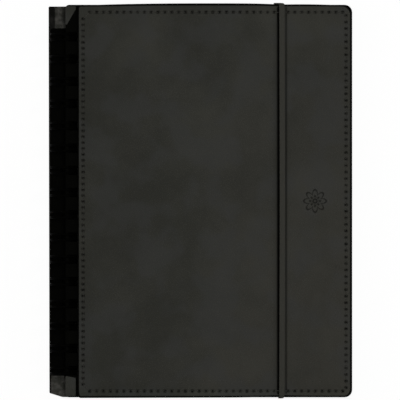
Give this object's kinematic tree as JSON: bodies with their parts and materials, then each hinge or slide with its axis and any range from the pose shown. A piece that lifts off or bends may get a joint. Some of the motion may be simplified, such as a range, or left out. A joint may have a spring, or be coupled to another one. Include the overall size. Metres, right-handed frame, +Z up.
{
  "type": "diary",
  "caption": "Wire-bound diary lying closed, with padded stitched covers, punched page sections that turn on the wire, and an elastic closure that pulls off the fore edge.",
  "frame": {"origin": "centre of the footprint on the surface that the closed diary lies on, under its back cover", "axes": "+Z up through the front cover, +Y to the head of the pages, +X to the fore edge that opens"},
  "size_m": [0.173, 0.2266, 0.0197],
  "materials": {
    "leatherette": "matte grained black leatherette",
    "black_sheet": "matte black",
    "board": "grey board",
    "foam": "grey padding",
    "paper": "uncoated cream",
    "coated_wire": "black nylon coat",
    "elastic": "woven black elastic",
    "thread": "black sewing thread"
  },
  "bodies": {
    "back_cover": {"back_cover_skin": "leatherette", "back_cover_foam": "foam", "back_cover_board": "board", "back_cover_lining": "black_sheet", "back_cover_thread": "thread", "spine_liner": "black_sheet", "binding_wire": "coated_wire", "elastic_head_anchor": "elastic", "elastic_tail_anchor": "elastic"},
    "notes": {"notes_pages": "paper"},
    "fourth_quarter": {"fourth_quarter_pages": "paper"},
    "third_quarter": {"third_quarter_pages": "paper"},
    "second_quarter": {"second_quarter_pages": "paper"},
    "first_quarter": {"first_quarter_pages": "paper"},
    "year_planner": {"year_planner_pages": "paper"},
    "front_cover": {"front_cover_skin": "leatherette", "front_cover_foam": "foam", "front_cover_board": "board", "front_cover_lining": "black_sheet", "front_cover_thread": "thread"},
    "elastic": {"elastic_front_run": "elastic", "elastic_head_run": "elastic", "elastic_tail_run": "elastic"}
  },
  "joints": [
    {"name": "notes_turn", "type": "hinge", "parent": "back_cover", "child": "notes", "pos_m": [-0.07835, 0, 0.00925], "axis": [0, -1, 0], "range_deg": [0, 180]},
    {"name": "fourth_quarter_turn", "type": "hinge", "parent": "notes", "child": "fourth_quarter", "pos_m": [-0.07835, 0, 0.00925], "axis": [0, -1, 0], "range_deg": [0, 180]},
    {"name": "third_quarter_turn", "type": "hinge", "parent": "fourth_quarter", "child": "third_quarter", "pos_m": [-0.07835, 0, 0.00925], "axis": [0, -1, 0], "range_deg": [0, 180]},
    {"name": "second_quarter_turn", "type": "hinge", "parent": "third_quarter", "child": "second_quarter", "pos_m": [-0.07835, 0, 0.00925], "axis": [0, -1, 0], "range_deg": [0, 180]},
    {"name": "first_quarter_turn", "type": "hinge", "parent": "second_quarter", "child": "first_quarter", "pos_m": [-0.07835, 0, 0.00925], "axis": [0, -1, 0], "range_deg": [0, 180]},
    {"name": "year_planner_turn", "type": "hinge", "parent": "first_quarter", "child": "year_planner", "pos_m": [-0.07835, 0, 0.00925], "axis": [0, -1, 0], "range_deg": [0, 180]},
    {"name": "front_cover_turn", "type": "hinge", "parent": "year_planner", "child": "front_cover", "pos_m": [-0.07835, 0, 0.00925], "axis": [0, -1, 0], "range_deg": [0, 180]},
    {"name": "elastic_release", "type": "slide", "parent": "back_cover", "child": "elastic", "axis": [0.98, 0, 0.199], "range_m": [0, 0.045], "deforming": ["elastic_head_run", "elastic_tail_run"]}
  ]
}
